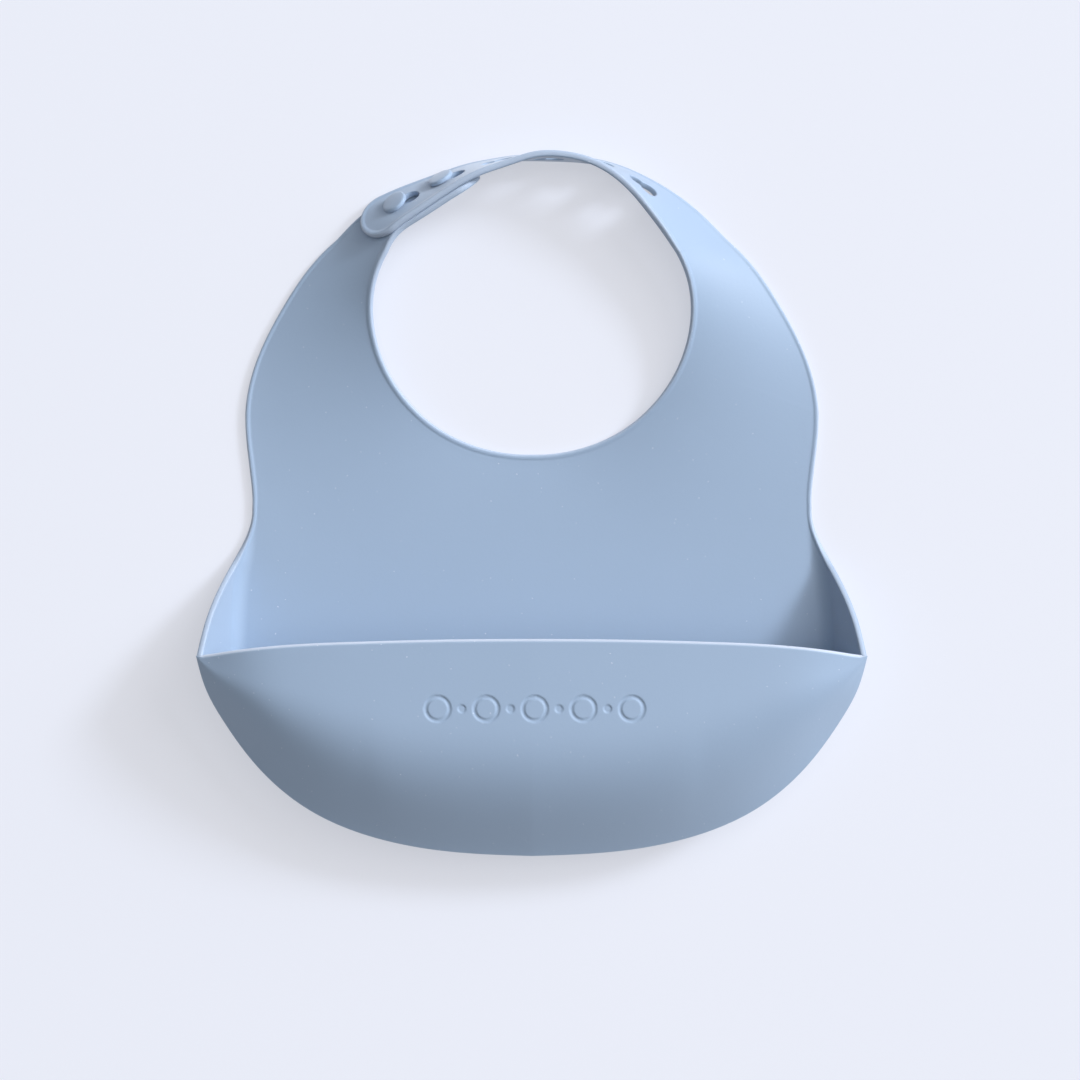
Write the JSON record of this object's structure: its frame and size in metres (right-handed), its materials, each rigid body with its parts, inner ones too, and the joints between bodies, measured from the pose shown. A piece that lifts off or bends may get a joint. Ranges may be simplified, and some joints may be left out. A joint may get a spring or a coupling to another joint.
{
  "type": "silicone baby bib",
  "caption": "Soft silicone bib with a deep catch pocket along the bottom and an adjustable collar that closes with button studs in keyholes.",
  "frame": {"origin": "on the back face of the chest panel, midway between the sides, six millimetres below the fold line", "axes": "+Z out of the chest through the front of the pocket, +Y from the pocket up to the collar, +X towards the holed strap's shoulder"},
  "size_m": [0.2232, 0.2377, 0.0372],
  "materials": {
    "silicone": "matte dusty blue moulded silicone"
  },
  "bodies": {
    "chest": {"chest_panel": "silicone", "pocket_rim": "silicone", "pocket_front": "silicone"},
    "flap": {"pocket_flap": "silicone"},
    "yoke": {"yoke": "silicone"},
    "hole_strap": {"hole_strap": "silicone"},
    "tab": {"strap_tab": "silicone"},
    "button_strap": {"button_strap": "silicone", "stud_1": "silicone", "stud_2": "silicone"}
  },
  "joints": [
    {"name": "chest_fold", "type": "hinge", "parent": "chest", "child": "yoke", "pos_m": [0, 0.00615, 0.00182], "axis": [1, 0, 0], "range_deg": [0, 120], "stiffness_Nm_per_rad": 0.03},
    {"name": "pocket_flex", "type": "hinge", "parent": "chest", "child": "flap", "pos_m": [0, -0.07815, 0.0338], "axis": [1, 0, 0], "range_deg": [0, 18], "stiffness_Nm_per_rad": 0.08},
    {"name": "hole_strap_lift", "type": "hinge", "parent": "yoke", "child": "hole_strap", "pos_m": [0.04944, 0.09716, 0.0162], "axis": [0.7271, 0.2616, -0.6348], "range_deg": [0, 60], "stiffness_Nm_per_rad": 0.01, "deforming": ["stud_1", "stud_2"]},
    {"name": "tab_peel", "type": "hinge", "parent": "hole_strap", "child": "tab", "pos_m": [-0.00518, 0.12833, 0.0206], "axis": [-0.0332, 0.1475, -0.9885], "range_deg": [0, 70], "stiffness_Nm_per_rad": 0.008, "deforming": ["stud_1", "stud_2"]},
    {"name": "button_strap_flex", "type": "hinge", "parent": "yoke", "child": "button_strap", "pos_m": [-0.04822, 0.09673, 0.01459], "axis": [-0.7264, 0.2612, -0.6357], "range_deg": [0, 25], "stiffness_Nm_per_rad": 0.008, "deforming": ["stud_1", "stud_2"]}
  ]
}
